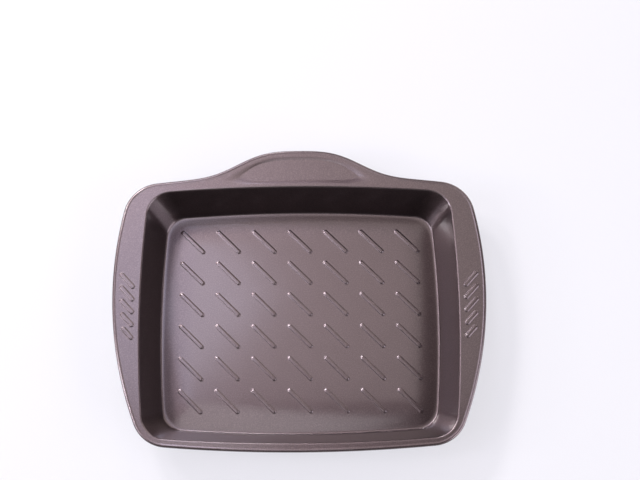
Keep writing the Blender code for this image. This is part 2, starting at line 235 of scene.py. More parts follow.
print("stations in an outline:",
      2 * (FRONT_STEPS + 2 * CORNER_STEPS + SIDE_FRONT_STEPS + SIDE_BACK_STEPS + BACK_STEPS))

# %% [markdown]
# The sizes come next. What the frame's box gives is read from it: the overall width and
# reach, the wire, and the radius of the curl round it. The rest are the dish's own
# driving sizes, the same ones that the solids were made with.

# %% Sizes of the dish
SHEET = 0.0008
WELL_DEPTH = 0.0485
MOUTH_HALF_DEPTH = 0.1426
MOUTH_CORNER = 0.0280
FLOOR_CORNER = 0.0228
WELL_SIDE_RADIUS = 1.22
WELL_END_RADIUS = 1.89
SIDE_WALL_RUN = 0.0194
FRONT_WALL_RUN = 0.0172
BACK_WALL_RUN = 0.0188
GRIP_WIDTH = 0.0288
GRIP_WIDEST_Y = 0.0258
FRONT_FLANGE = 0.008
BACK_FLANGE = 0.0129
FLANGE_SIDE_RADIUS = 0.404
FLANGE_FRONT_RADIUS = 1.672
FLANGE_BACK_RADIUS = 1.369
FLANGE_CORNERS = (0.0386, 0.0409)
FOOT_WIDTH = 0.0012
FIELD_SETBACK = 0.0150
FIELD_CORNER = 0.005
FIELD_SIDE_RADIUS = 12.0
FIELD_END_RADIUS = 18.0

wire_radius = (wire_high.z - wire_low.z) / 2
curl_radius = cad_high.x - wire_high.x + wire_radius
curl_z = (wire_high.z + wire_low.z) / 2
mouth_half_width = cad_high.x - GRIP_WIDTH
front_reach = MOUTH_HALF_DEPTH + FRONT_FLANGE
well_y = cad_low.y + front_reach
foot_z = SHEET
flange_z = foot_z + WELL_DEPTH
hump_rise = cad_high.y - well_y - MOUTH_HALF_DEPTH - BACK_FLANGE

flange_edge = Outline(
    cad_high.x, GRIP_WIDEST_Y, FLANGE_SIDE_RADIUS, (front_reach, FLANGE_FRONT_RADIUS),
    (MOUTH_HALF_DEPTH + BACK_FLANGE, FLANGE_BACK_RADIUS), FLANGE_CORNERS, hump_rise)
mouth = Outline(
    mouth_half_width, 0.0, WELL_SIDE_RADIUS, (MOUTH_HALF_DEPTH, WELL_END_RADIUS),
    (MOUTH_HALF_DEPTH, WELL_END_RADIUS), (MOUTH_CORNER, MOUTH_CORNER))
floor_half_width = mouth_half_width - SIDE_WALL_RUN
floor_back_reach = MOUTH_HALF_DEPTH - BACK_WALL_RUN
floor_line = Outline(
    floor_half_width, 0.0, WELL_SIDE_RADIUS,
    (MOUTH_HALF_DEPTH - FRONT_WALL_RUN, WELL_END_RADIUS),
    (floor_back_reach, WELL_END_RADIUS), (FLOOR_CORNER, FLOOR_CORNER))
field_half_width = floor_half_width - FOOT_WIDTH - FIELD_SETBACK
field_half_depth = floor_back_reach - FOOT_WIDTH - FIELD_SETBACK
rib_field = Outline(
    field_half_width, 0.0, FIELD_SIDE_RADIUS, (field_half_depth, FIELD_END_RADIUS),
    (field_half_depth, FIELD_END_RADIUS), (FIELD_CORNER, FIELD_CORNER))
print("mouth, mm:", round(2 * MM * mouth_half_width, 1), "x", round(2 * MM * MOUTH_HALF_DEPTH, 1))
print("hump, mm:", round(MM * hump_rise, 1), "curl radius, mm:", round(MM * curl_radius, 2))

# %% [markdown]
# ## Growing a surface ring by ring
#
# The dish could be cut from a block with subdivision, or shaped by a press simulation.
# A press-formed sheet is easiest to follow from its edge inwards, though: one ring of
# vertices is extruded again and again, and each new ring is laid on the next outline.
# Extrude makes the faces, so nothing has to be listed by hand. The helpers below start
# a ring, grow the next one from it, and lay an outline's stations at a height or on a
# surface.

# %% Helpers for rings
def start_ring(bm, spots):
    """A circle's vertices, laid on the given spots."""
    made = bmesh.ops.create_circle(bm, cap_ends=False, radius=1.0, segments=len(spots))
    ring = list(made["verts"])
    for vertex, spot in zip(ring, spots):
        vertex.co = spot
    return ring


def ring_edges(bm, ring):
    """The edges that join a ring's vertices, each to the one before it."""
    return [bm.edges.get((vertex, ring[i - 1])) for i, vertex in enumerate(ring)]


def grow_ring(bm, ring, spots):
    """Extrudes a ring and lays the new one on the given spots."""
    made = bmesh.ops.extrude_edge_only(bm, edges=ring_edges(bm, ring))["geom"]
    fresh = {item for item in made if isinstance(item, bmesh.types.BMVert)}
    grown = []
    for vertex, spot in zip(ring, spots):
        neighbours = [edge.other_vert(vertex) for edge in vertex.link_edges]
        twin = next(other for other in neighbours if other in fresh)
        twin.co = spot
        grown.append(twin)
    return grown


def inset_points(points, distance):
    """An outline's stations, moved inwards by distance."""
    moved = []
    for i, point in enumerate(points):
        along = points[(i + 1) % len(points)] - points[i - 1]
        moved.append(point + Vector((-along.y, along.x)).normalized() * distance)
    return moved


def lay(points, z):
    """Stations of the well's plane as points of the frame, at height z."""
    return [Vector((point.x, point.y + well_y, z)) for point in points]


def drape(points, height_at, lift=0.0):
    """Stations of the well's plane as points of the frame, laid on a surface."""
    return [Vector((point.x, point.y + well_y, height_at(point) + lift)) for point in points]


wire_line = inset_points(flange_edge.points(), curl_radius)
print("wire's middle line, mm wide:", round(2 * MM * max(point.x for point in wire_line), 1))

# %% [markdown]
# Between the ribs, the sheet has no rings to grow. A triangle fill spans such a region
# with its border and its holes as the only corners, which is right for a flat one. The
# floor swells a little, so the long edges of its fill are cut in two again and again,
# and each new vertex is laid on the swell. The patch is made apart and welded in later.
# The fill is told which way is up by a normal that leans a little: an exactly upright
# one gives faulty faces here, where so many corners lie in straight rows.

# %% Patches between the rings
SWELL_RUN = 0.034
FLOOR_RISE = 0.0022
SWELL_SQUARENESS = 3.4
PATCH_EDGE = 0.006
FLOOR_PATCH_ROUNDS = 5
FLAT_PATCH_ROUNDS = 0
FILL_NORMAL = (0.01, 0.005, 1.0)


def flange_height(point):
    """Height of the flat of the flange, the same at every point."""
    return flange_z


def floor_height(point):
    """Height of the floor: level in the middle, and falling ever faster to the foot.

    A squareness of 2 would round the corners of the swell off, and more fills them out.
    """
    side_gap = floor_line.side_x(point.y) - abs(point.x) - FOOT_WIDTH
    back_gap = floor_line.back_y(point.x) - point.y - FOOT_WIDTH
    front_gap = point.y - floor_line.front_y(point.x) - FOOT_WIDTH
    side_fall = max(0.0, 1.0 - side_gap / SWELL_RUN)
    end_fall = max(0.0, 1.0 - min(back_gap, front_gap) / SWELL_RUN)
    both = side_fall ** SWELL_SQUARENESS + end_fall ** SWELL_SQUARENESS
    return foot_z + FLOOR_RISE * (1.0 - min(1.0, both ** (2 / SWELL_SQUARENESS)))


def inner_edges(sheet):
    return [edge for edge in sheet.edges if not edge.is_boundary]


def cut_and_drape(sheet, height_at):
    """Cuts the long inner edges of a fill and lays the new vertices on the surface."""
    long_edges = [edge for edge in inner_edges(sheet) if edge.calc_length() > PATCH_EDGE]
    made = bmesh.ops.bisect_edges(sheet, edges=long_edges, cuts=1)["geom_split"]
    for item in made:
        if isinstance(item, bmesh.types.BMVert):
            item.co.z = height_at(Vector((item.co.x, item.co.y - well_y)))
    bmesh.ops.triangulate(sheet, faces=sheet.faces)
    bmesh.ops.beautify_fill(sheet, faces=sheet.faces, edges=inner_edges(sheet))


def add_patch(bm, height_at, rounds, *rings):
    """Faces over a region, refined in rounds; the rings are its border and its holes."""
    sheet = bmesh.new()
    loops = [start_ring(sheet, [vertex.co.copy() for vertex in ring]) for ring in rings]
    edges = [edge for loop in loops for edge in ring_edges(sheet, loop)]
    bmesh.ops.triangle_fill(sheet, edges=edges, use_beauty=True, normal=FILL_NORMAL)
    for _ in range(rounds):
        cut_and_drape(sheet, height_at)
    mesh = bpy.data.meshes.new("patch")
    sheet.to_mesh(mesh)
    sheet.free()
    bm.from_mesh(mesh)
    print("patch:", len(mesh.polygons), "faces between", len(rings), "rings")
    bpy.data.meshes.remove(mesh)


print("middle of the floor, mm up:", round(MM * floor_height(Vector((0.0, 0.0))), 2))

# %% [markdown]
# ## The rolled edge
#
# The edge of the blank is curled down and under, round the wire, and it stands a little
# above the flange as a bead. The curl is three quarters of a circle, swept round the
# outline: the ring starts at the tail, under the flange, and grows over the top and down
# a small fillet to the flange. A curve with a round bevel would look alike from above,
# but it would be a separate tube, and here the edge is the same sheet as the rest.

# %% Curl and bead
CURL_TURN = math.radians(270)
CURL_STEPS = 27
BEAD_FOOT_RADIUS = 0.002
BEAD_FOOT_STEPS = 5
FLAT_MARGIN = 0.0003


def add_rolled_edge(bm):
    """The curl, from its tail over the bead to the flange; returns the ring on the flange."""
    sections = []
    for i in range(CURL_STEPS):
        swing = math.pi / 2 - CURL_TURN * (1 - i / CURL_STEPS)
        sections.append((
            curl_radius * (1 - math.cos(swing)), curl_z + curl_radius * math.sin(swing)))
    both = curl_radius + BEAD_FOOT_RADIUS
    lean = math.acos(1 - (curl_z + curl_radius - flange_z) / both)
    foot = curl_radius + both * math.sin(lean)
    turns = [lean * i / BEAD_FOOT_STEPS for i in range(BEAD_FOOT_STEPS + 1)]
    sections += [
        (curl_radius * (1 + math.sin(turn)), curl_z + curl_radius * math.cos(turn))
        for turn in turns]
    sections += [
        (foot - BEAD_FOOT_RADIUS * math.sin(turn),
         flange_z + BEAD_FOOT_RADIUS * (1 - math.cos(turn)))
        for turn in reversed(turns[:-1])]
    sections.append((foot + FLAT_MARGIN, flange_z))
    print("bead width, mm:", round(MM * foot, 2), "levels:", len(sections))
    edge = flange_edge.points()
    tail_inset, tail_z = sections[0]
    ring = start_ring(bm, lay(inset_points(edge, tail_inset), tail_z))
    for inset, z in sections[1:]:
        ring = grow_ring(bm, ring, lay(inset_points(edge, inset), z))
    return ring


print("bead above the flange, mm:", round(MM * (curl_z + curl_radius - flange_z), 2))

# %% [markdown]
# ## The well
#
# The wall leans outwards all round, so that the tool can leave the sheet. It bends over
# a round at the mouth and into another at the floor. Below that is a narrow flat foot,
# the only part that touches the shelf, and from the foot the floor swells up towards its
# middle, which keeps it from buckling in the heat. Rings carry the swell as far as the
# field of the ribs, and the patch between the ribs goes on from there. The section is
# worked out for each station, because the wall leans more on some sides than on others.

# %% Wall, foot and swell
MOUTH_ROUND = 0.0022
FLOOR_ROUND = 0.0024
ROUND_STEPS = 8
WALL_STEPS = 3
SWELL_STEPS = 8


def wall_section(run):
    """(share of the run, drop) of a wall with a round at its top and at its bottom."""
    rounds = MOUTH_ROUND + FLOOR_ROUND
    rise = WELL_DEPTH - rounds
    straight = math.sqrt(run ** 2 + rise ** 2 - rounds ** 2)
    steepness = math.atan2(rise, run) + math.atan2(rounds, straight)
    turns = [steepness * i / ROUND_STEPS for i in range(ROUND_STEPS + 1)]
    top = [
        (MOUTH_ROUND * math.sin(turn), MOUTH_ROUND * (1 - math.cos(turn))) for turn in turns]
    bottom = [
        (run - FLOOR_ROUND * math.sin(turn), WELL_DEPTH - FLOOR_ROUND * (1 - math.cos(turn)))
        for turn in reversed(turns)]
    between = []
    for i in range(1, WALL_STEPS):
        share = i / WALL_STEPS
        between.append(tuple(a + (b - a) * share for a, b in zip(top[-1], bottom[0])))
    return [(distance / run, drop) for distance, drop in top + between + bottom]


def add_well(bm):
    """The wall, the foot and the swell; returns the ring at the mouth and the inner one."""
    upper = mouth.points()
    lower = floor_line.points()
    sections = [wall_section((low - high).length) for high, low in zip(upper, lower)]
    mouth_ring = start_ring(bm, lay(inset_points(upper, -FLAT_MARGIN), flange_z))
    ring = mouth_ring
    for level in range(len(sections[0])):
        spots = []
        for high, low, section in zip(upper, lower, sections):
            share, drop = section[level]
            point = high.lerp(low, share)
            spots.append(Vector((point.x, point.y + well_y, flange_z - drop)))
        ring = grow_ring(bm, ring, spots)
    foot = inset_points(lower, FOOT_WIDTH)
    ring = grow_ring(bm, ring, lay(foot, foot_z))
    field_edge = rib_field.points()
    for i in range(1, SWELL_STEPS + 1):
        spots = [out.lerp(within, i / SWELL_STEPS) for out, within in zip(foot, field_edge)]
        ring = grow_ring(bm, ring, drape(spots, floor_height))
    return mouth_ring, ring


print("levels of the side wall:", len(wall_section(SIDE_WALL_RUN)))

# %% [markdown]
# ## The ribs
#
# A rib is a short ridge with round ends, pressed up from below. Here it is a circle
# whose two halves are pulled apart, grown inwards and upwards over a fillet and a round,
# and closed by one face on its crest. On the floor the slope is longer at the two ends
# than along the sides, and the end that faces the light catches it as a small spot. The
# outermost ring lies flat on the floor, so that the floor stays flat up to the rib.

# %% One rib
RIB_END_STEPS = 14
RIB_SIDE_STEPS = 6
RIB_BEND_STEPS = 5


def rib_section(half_width, height, foot_radius, crest_radius):
    """(distance from the rib's middle line, height above the sheet), from outside in."""
    both = foot_radius + crest_radius
    steepest = math.acos(1 - height / both)
    turns = [steepest * i / RIB_BEND_STEPS for i in range(RIB_BEND_STEPS + 1)]
    section = [(half_width + FLAT_MARGIN, 0.0)]
    section += [
        (half_width - foot_radius * math.sin(turn), foot_radius * (1 - math.cos(turn)))
        for turn in turns]
    crest_edge = half_width - both * math.sin(steepest)
    section += [
        (crest_edge + crest_radius * math.sin(turn),
         height - crest_radius * (1 - math.cos(turn)))
        for turn in reversed(turns[:-1])]
    return section


def rib_ring(centre, span, turn, radius):
    """A circle pulled apart along turn, so that it goes round a rib's two end centres."""
    along = Vector((math.cos(turn), math.sin(turn)))
    spots = []
    for side in (1, -1):
        end = centre + along * (side * span / 2)
        for i in range(RIB_END_STEPS + 1):
            swing = turn - side * math.pi / 2 + math.pi * i / RIB_END_STEPS
            spots.append(end + Vector((math.cos(swing), math.sin(swing))) * radius)
        corner = spots[-1]
        for i in range(1, RIB_SIDE_STEPS):
            spots.append(corner - along * (side * span * i / RIB_SIDE_STEPS))
    return spots


def add_rib(bm, centre, span, turn, height_at, section, end_run=0.0):
    """A closed rib; returns its outermost ring, which is a hole in the sheet round it.

    end_run is how much longer the slope is at the ends than along the sides.
    """
    outer_radius = section[0][0]
    outer = start_ring(bm, drape(rib_ring(centre, span, turn, outer_radius), height_at))
    ring = outer
    for radius, rise in section[1:]:
        shorter = span - 2 * end_run * (outer_radius - radius)
        spots = rib_ring(centre, shorter, turn, radius)
        ring = grow_ring(bm, ring, drape(spots, height_at, rise))
    bmesh.ops.edgeloop_fill(bm, edges=ring_edges(bm, ring))
    return outer


print("stations round a rib:", 2 * (RIB_END_STEPS + RIB_SIDE_STEPS))

# %% [markdown]
# The floor has seven columns and six rows of ribs, all slanting the same way. They let
# fat run off under the roast and stiffen the floor. Each grip has five shorter ones
# that lean outwards and backwards, the left set a mirror of the right; they keep an
# oven glove from slipping. Their outer ends follow the edge of the flange. The two bends
# of a rib are the fillet at its foot and the round at its crest.

# %% Where the ribs are
RIB_COLUMNS = 7
RIB_ROWS = 6
RIB_FIELD_MARGIN = 0.0021
FLOOR_RIB_SPAN = 0.0336
FLOOR_RIB_TURN = math.radians(-45)
FLOOR_RIB_HALF_WIDTH = 0.0028
FLOOR_RIB_HEIGHT = 0.0008
FLOOR_RIB_BENDS = (0.0009, 0.0014)
FLOOR_RIB_END_RUN = 0.8
GRIP_RIB_COUNT = 5
GRIP_RIB_PITCH = 0.0140
GRIP_RIB_FIRST_Y = 0.0290
GRIP_RIB_MOUTH_SETBACK = 0.0068
GRIP_RIB_EDGE_SETBACK = 0.0104
GRIP_RIB_TURN = math.radians(48)
GRIP_RIB_HALF_WIDTH = 0.0030
GRIP_RIB_HEIGHT = 0.0010
GRIP_RIB_BENDS = (0.0008, 0.0012)


def add_floor_ribs(bm):
    section = rib_section(FLOOR_RIB_HALF_WIDTH, FLOOR_RIB_HEIGHT, *FLOOR_RIB_BENDS)
    half_reach = FLOOR_RIB_SPAN / 2 * math.cos(FLOOR_RIB_TURN)
    reach = half_reach + FLOOR_RIB_HALF_WIDTH + RIB_FIELD_MARGIN
    field_x = field_half_width - reach
    field_y = field_half_depth - reach
    feet = []
    for row in range(RIB_ROWS):
        for column in range(RIB_COLUMNS):
            centre = Vector((
                field_x * (2 * column / (RIB_COLUMNS - 1) - 1),
                field_y * (2 * row / (RIB_ROWS - 1) - 1)))
            feet.append(add_rib(
                bm, centre, FLOOR_RIB_SPAN, FLOOR_RIB_TURN, floor_height, section,
                FLOOR_RIB_END_RUN))
    return feet


def add_grip_ribs(bm):
    section = rib_section(GRIP_RIB_HALF_WIDTH, GRIP_RIB_HEIGHT, *GRIP_RIB_BENDS)
    feet = []
    inner_x = mouth_half_width + GRIP_RIB_MOUTH_SETBACK
    for i in range(GRIP_RIB_COUNT):
        inner_y = GRIP_RIB_FIRST_Y - i * GRIP_RIB_PITCH
        reach = flange_edge.side_x(inner_y) - GRIP_RIB_EDGE_SETBACK - inner_x
        span = reach / math.cos(GRIP_RIB_TURN)
        for side in (1, -1):
            turn = GRIP_RIB_TURN if side == 1 else math.pi - GRIP_RIB_TURN
            half = Vector((math.cos(turn), math.sin(turn))) * (span / 2)
            centre = Vector((side * inner_x, inner_y)) + half
            feet.append(add_rib(bm, centre, span, turn, flange_height, section))
    return feet


print("ribs:", RIB_COLUMNS * RIB_ROWS, "on the floor,", 2 * GRIP_RIB_COUNT, "on the grips")

# %% [markdown]
# ## The panel on the hump
#
# The hump at the back carries a shallow sunken panel with round ends: its back follows
# the hump and its front the mouth. It is left bare. Its rim is grown inwards and
# downwards in a double bend: the sheet turns down on one arc and back on another.

# %% Panel
PANEL_BORDER = 0.0056
PANEL_MOUTH_SETBACK = 0.0010
PANEL_HALF_WIDTH = 0.084
PANEL_END_ROUND = 0.022
PANEL_BACK_LIP = 0.0052
PANEL_MOUTH_LIP = 0.0062
PANEL_END_LIP = 0.0200
PANEL_DEPTH = 0.0009
PANEL_BEND_RADIUS = 0.0130
PANEL_STEPS = 36
PANEL_END_STEPS = 10
PANEL_BEND_STEPS = 6


def double_bend(run, rise, first_radius, steps):
    """(distance, height) of a step that bends by first_radius and then back again."""
    full_turn = 2 * math.atan2(rise, run)
    second_radius = run / math.sin(full_turn) - first_radius
    turns = [full_turn * i / steps for i in range(steps + 1)]
    lower = [
        (first_radius * math.sin(turn), first_radius * (1 - math.cos(turn))) for turn in turns]
    upper = [
        (run - second_radius * math.sin(turn), rise - second_radius * (1 - math.cos(turn)))
        for turn in reversed(turns[:-1])]
    return lower + upper


def panel_points(share):
    """A line round the panel, from its rim at share 0 to its floor at share 1."""
    end_x = PANEL_HALF_WIDTH - PANEL_END_LIP * share
    straight_x = end_x - PANEL_END_ROUND
    turns = [math.pi / 2 * i / PANEL_END_STEPS for i in range(PANEL_END_STEPS)]
    spots = [
        (straight_x + PANEL_END_ROUND * math.cos(turn), math.sin(turn)) for turn in turns]
    spots += [(straight_x * (1 - 2 * i / PANEL_STEPS), 1.0) for i in range(PANEL_STEPS + 1)]
    spots += [(-x, width_share) for x, width_share in reversed(spots[:PANEL_END_STEPS])]
    border = PANEL_BORDER + PANEL_BACK_LIP * share
    setback = PANEL_MOUTH_SETBACK + PANEL_MOUTH_LIP * share
    upper = []
    lower = []
    for x, width_share in spots:
        high = flange_edge.back_y(x) - border * math.hypot(1.0, flange_edge.back_slope(x))
        low = mouth.back_y(x) + setback
        half = (high - low) / 2 * width_share
        upper.append(Vector((x, (high + low) / 2 + half)))
        lower.append(Vector((x, (high + low) / 2 - half)))
    return upper + lower[-2:0:-1]


def add_panel(bm):
    """The sunken panel; returns its outermost ring."""
    margin = FLAT_MARGIN / PANEL_BACK_LIP
    outer = start_ring(bm, lay(panel_points(-margin), flange_z))
    ring = outer
    section = double_bend(PANEL_BACK_LIP, PANEL_DEPTH, PANEL_BEND_RADIUS, PANEL_BEND_STEPS)
    for distance, drop in section:
        share = distance / PANEL_BACK_LIP
        ring = grow_ring(bm, ring, lay(panel_points(share), flange_z - drop))
    ring = grow_ring(bm, ring, lay(panel_points(1.0 + margin), flange_z - PANEL_DEPTH))
    add_patch(bm, flange_height, FLAT_PATCH_ROUNDS, ring)
    return outer


print("stations round the panel:", len(panel_points(0.0)))

# %% [markdown]
# ## One sheet
#
# The parts grown so far share no faces yet. Filling the flat of the flange, and then
# the flat of the floor, joins them into one skin. Solidify gives that skin the
# thickness of the sheet, downwards, so that each rib is hollow below as a pressed one
# is. The normals are made to point up before that, or the sheet would grow the wrong way.

# %% Make the pan
WELD_DISTANCE = 0.000001


def add_object(name, mesh):
    made = bpy.data.objects.new(name, mesh)
    bpy.context.scene.collection.objects.link(made)
    return made


def make_pan():
    bm = bmesh.new()
    bead_ring = add_rolled_edge(bm)
    mouth_ring, field_ring = add_well(bm)
    flange_holes = [mouth_ring, add_panel(bm)] + add_grip_ribs(bm)
    add_patch(bm, flange_height, FLAT_PATCH_ROUNDS, bead_ring, *flange_holes)
    add_patch(bm, floor_height, FLOOR_PATCH_ROUNDS, field_ring, *add_floor_ribs(bm))
    bmesh.ops.remove_doubles(bm, verts=bm.verts, dist=WELD_DISTANCE)
    bmesh.ops.recalc_face_normals(bm, faces=bm.faces)
    lowest = min(bm.faces, key=lambda face: face.calc_center_median().z)
    if lowest.normal.z < 0:
        bmesh.ops.reverse_faces(bm, faces=bm.faces)
    loose = [edge for edge in bm.edges if len(edge.link_faces) == 1]
    mesh = bpy.data.meshes.new("coated_pan")
    bm.to_mesh(mesh)
    bm.free()
    mesh.shade_smooth()
    pan = add_object("coated_pan", mesh)
    sheet = pan.modifiers.new("sheet", "SOLIDIFY")
    sheet.thickness = SHEET
    sheet.offset = -1.0
    sheet.use_even_offset = True
    sheet.use_quality_normals = True
    print("pan skin:", len(mesh.vertices), "vertices,", len(loose), "edges round its tail")
    return pan


pan = make_pan()
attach(pan, "root")
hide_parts("pressed_pan")

# %% [markdown]
# ## The wire
#
# The wire lies inside the curl, and only the gap at the curl's tail shows it, from
# below. It is one ring swept round the outline: the first ring runs along its outer
# side, is grown round the wire's section, and a bridge closes it to the start.

# %% Make the wire
WIRE_SEGMENTS = 12


def make_wire():
    edge = flange_edge.points()
    bm = bmesh.new()
    spots = []
    for i in range(WIRE_SEGMENTS):
        swing = math.tau * i / WIRE_SEGMENTS
        distance = curl_radius - wire_radius * math.cos(swing)
        spots.append(lay(inset_points(edge, distance), curl_z + wire_radius * math.sin(swing)))
    first = start_ring(bm, spots[0])
    ring = first
    for level in spots[1:]:
        ring = grow_ring(bm, ring, level)
    bmesh.ops.bridge_loops(bm, edges=ring_edges(bm, first) + ring_edges(bm, ring))
    bmesh.ops.recalc_face_normals(bm, faces=bm.faces)
    mesh = bpy.data.meshes.new("drawn_wire")
    bm.to_mesh(mesh)
    bm.free()
    mesh.shade_smooth()
    print("wire:", len(mesh.polygons), "faces")
    return add_object("drawn_wire", mesh)


wire = make_wire()
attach(wire, "root")
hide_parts("rim_wire")

# %% [markdown]
# ## Grain for every finish
#
# No real finish is even. A sprayed coat dries with a fine grain and broad, faint clouds,
# zinc has dull patches, and paper has fibres. A picture could show that, but it would
# blur close up, so noise is worked out from the place on the piece instead. All the
# finishes need it, each at its own size, so it is one node group with named sockets.

# %% Grain group
GRAIN_CONTRAST = (0.35, 0.65)
CLOUD_CONTRAST = (0.30, 0.70)
GRAIN_DETAIL = 2.0
CLOUD_DETAIL = 4.0


def add_noise(group, place, size, detail, contrast):
    """Noise with features as large as size says, stretched to run from 0 to 1."""
    scale = group.nodes.new("ShaderNodeMath")
    scale.operation = "DIVIDE"
    scale.inputs[0].default_value = 1.0
    group.links.new(size, scale.inputs[1])
    noise = group.nodes.new("ShaderNodeTexNoise")
    noise.inputs["Detail"].default_value = detail
    group.links.new(place, noise.inputs["Vector"])
    group.links.new(scale.outputs["Value"], noise.inputs["Scale"])
    stretch = group.nodes.new("ShaderNodeMapRange")
    stretch.inputs["From Min"].default_value = contrast[0]
    stretch.inputs["From Max"].default_value = contrast[1]
    group.links.new(noise.outputs["Fac"], stretch.inputs["Value"])
    return stretch.outputs["Result"]


def make_grain_group():
    group = bpy.data.node_groups.new("surface_grain", "ShaderNodeTree")
    for name in ("Grain Size", "Cloud Size"):
        group.interface.new_socket(name=name, in_out="INPUT", socket_type="NodeSocketFloat")
    for name in ("Grain", "Clouds"):
        group.interface.new_socket(name=name, in_out="OUTPUT", socket_type="NodeSocketFloat")
    start = group.nodes.new("NodeGroupInput")
    end = group.nodes.new("NodeGroupOutput")
    place = group.nodes.new("ShaderNodeTexCoord").outputs["Object"]
    grain = add_noise(group, place, start.outputs["Grain Size"], GRAIN_DETAIL, GRAIN_CONTRAST)
    clouds = add_noise(group, place, start.outputs["Cloud Size"], CLOUD_DETAIL, CLOUD_CONTRAST)
    group.links.new(grain, end.inputs["Grain"])
    group.links.new(clouds, end.inputs["Clouds"])
    return group


grain_group = make_grain_group()
print("grain group:", len(grain_group.nodes), "nodes")

# %% [markdown]
# The finishes are put together from the same few steps: place the group, turn one of its
# values into a range or into colours, and press it into the surface as a bump.

# %% Helpers for finishes
def new_material(name):
    material = bpy.data.materials.new(name)
    material.use_nodes = True
    return material, material.node_tree, material.node_tree.nodes["Principled BSDF"]


def add_grain(tree, grain_size, cloud_size):
    """The grain group, placed in a material; returns its two values."""
    node = tree.nodes.new("ShaderNodeGroup")
    node.node_tree = grain_group
    node.inputs["Grain Size"].default_value = grain_size
    node.inputs["Cloud Size"].default_value = cloud_size
    return node.outputs["Grain"], node.outputs["Clouds"]


def add_range(tree, value, low, high):
    """A value from 0 to 1, made to run from low to high."""
    span = tree.nodes.new("ShaderNodeMapRange")
    span.inputs["To Min"].default_value = low
    span.inputs["To Max"].default_value = high
    tree.links.new(value, span.inputs["Value"])
    return span.outputs["Result"]


def add_sum(tree, value, share, base):
    """share of a value on top of a base value."""
    total = tree.nodes.new("ShaderNodeMath")
    total.operation = "MULTIPLY_ADD"
    tree.links.new(value, total.inputs[0])
    total.inputs[1].default_value = share
    tree.links.new(base, total.inputs[2])
    return total.outputs["Value"]


def add_colours(tree, value, *stops):
    """Colours along a value; each stop is its place and its colour, in rising order."""
    ramp = tree.nodes.new("ShaderNodeValToRGB")
    elements = ramp.color_ramp.elements
    for i, (place, colour) in enumerate(stops):
        stop = elements[i] if i < 2 else elements.new(place)
        stop.position = place
        stop.color = colour
    tree.links.new(value, ramp.inputs["Fac"])
    return ramp.outputs["Color"]


def add_bump(tree, shader, height, depth):
    """Presses a height from 0 to 1 into the surface, as deep as depth."""
    bump = tree.nodes.new("ShaderNodeBump")
    bump.inputs["Strength"].default_value = 1.0
    bump.inputs["Distance"].default_value = depth
    tree.links.new(height, bump.inputs["Height"])
    tree.links.new(bump.outputs["Normal"], shader.inputs["Normal"])


# %% [markdown]
# ## The coating
#
# The coating is a sprayed resin, filled with metal flake and baked: brown, with a mauve
# cast, and satin. Two things shine in it. The flakes lie nearly flat in the resin and
# give a wide, tinted gleam, and the skin of the resin gives a narrower one without
# colour. A single glossy shader shows only one of them, so the flakes are a dark metal
# and the skin is a clear coat over it. Flecks and clouds vary the colour a little, and a
# grain a few thousandths of a millimetre deep stands for the orange peel of the spray.

# %% Coating material
COATING_DARK = (0.083, 0.061, 0.062, 1.0)
COATING_LIGHT = (0.100, 0.074, 0.075, 1.0)
COATING_FLECK = (0.122, 0.092, 0.093, 1.0)
COATING_LIGHT_PLACE = 0.7
COATING_CLOUD_SHARE = 0.12
FLAKE_ROUGHNESS = (0.375, 0.385)
SKIN_WEIGHT = (0.98, 1.0)
SKIN_ROUGHNESS = 0.15
COATING_GRAIN_SIZE = 0.0010
COATING_CLOUD_SIZE = 0.030
COATING_GRAIN_DEPTH = 0.000005


def make_coating():
    material, tree, shader = new_material("non_stick_coating")
    grain, clouds = add_grain(tree, COATING_GRAIN_SIZE, COATING_CLOUD_SIZE)
    tint = add_colours(
        tree, add_sum(tree, clouds, COATING_CLOUD_SHARE, grain),
        (0.0, COATING_DARK), (COATING_LIGHT_PLACE, COATING_LIGHT), (1.0, COATING_FLECK))
    tree.links.new(tint, shader.inputs["Base Color"])
    tree.links.new(add_range(tree, clouds, *FLAKE_ROUGHNESS), shader.inputs["Roughness"])
    tree.links.new(add_range(tree, clouds, *SKIN_WEIGHT), shader.inputs["Coat Weight"])
    shader.inputs["Metallic"].default_value = 1.0
    shader.inputs["Coat Roughness"].default_value = SKIN_ROUGHNESS
    add_bump(tree, shader, grain, COATING_GRAIN_DEPTH)
    return material


pan.data.materials.append(make_coating())
print("coating nodes:", len(pan.data.materials[0].node_tree.nodes))

# %% [markdown]
# ## The zinc on the wire
#
# Steel wire for a rim is dipped in zinc, so that it doesn't rust inside the curl. Zinc
# sets in crystals, which show as a spangle of lighter and duller cells, and it dulls in
# patches. A cell texture gives each crystal its own shade and its own gloss. A plain
# grey metal would pass from a distance, but the wire is seen close, in the curl's gap.

# %% Wire material
ZINC_DARK = (0.42, 0.42, 0.43, 1.0)
ZINC_LIGHT = (0.66, 0.65, 0.63, 1.0)
ZINC_ROUGHNESS = (0.28, 0.50)
SPANGLE_SIZE = 0.0016
ZINC_GRAIN_SIZE = 0.0004
ZINC_CLOUD_SIZE = 0.012
ZINC_CLOUD_SHARE = 0.4
ZINC_GRAIN_DEPTH = 0.000008


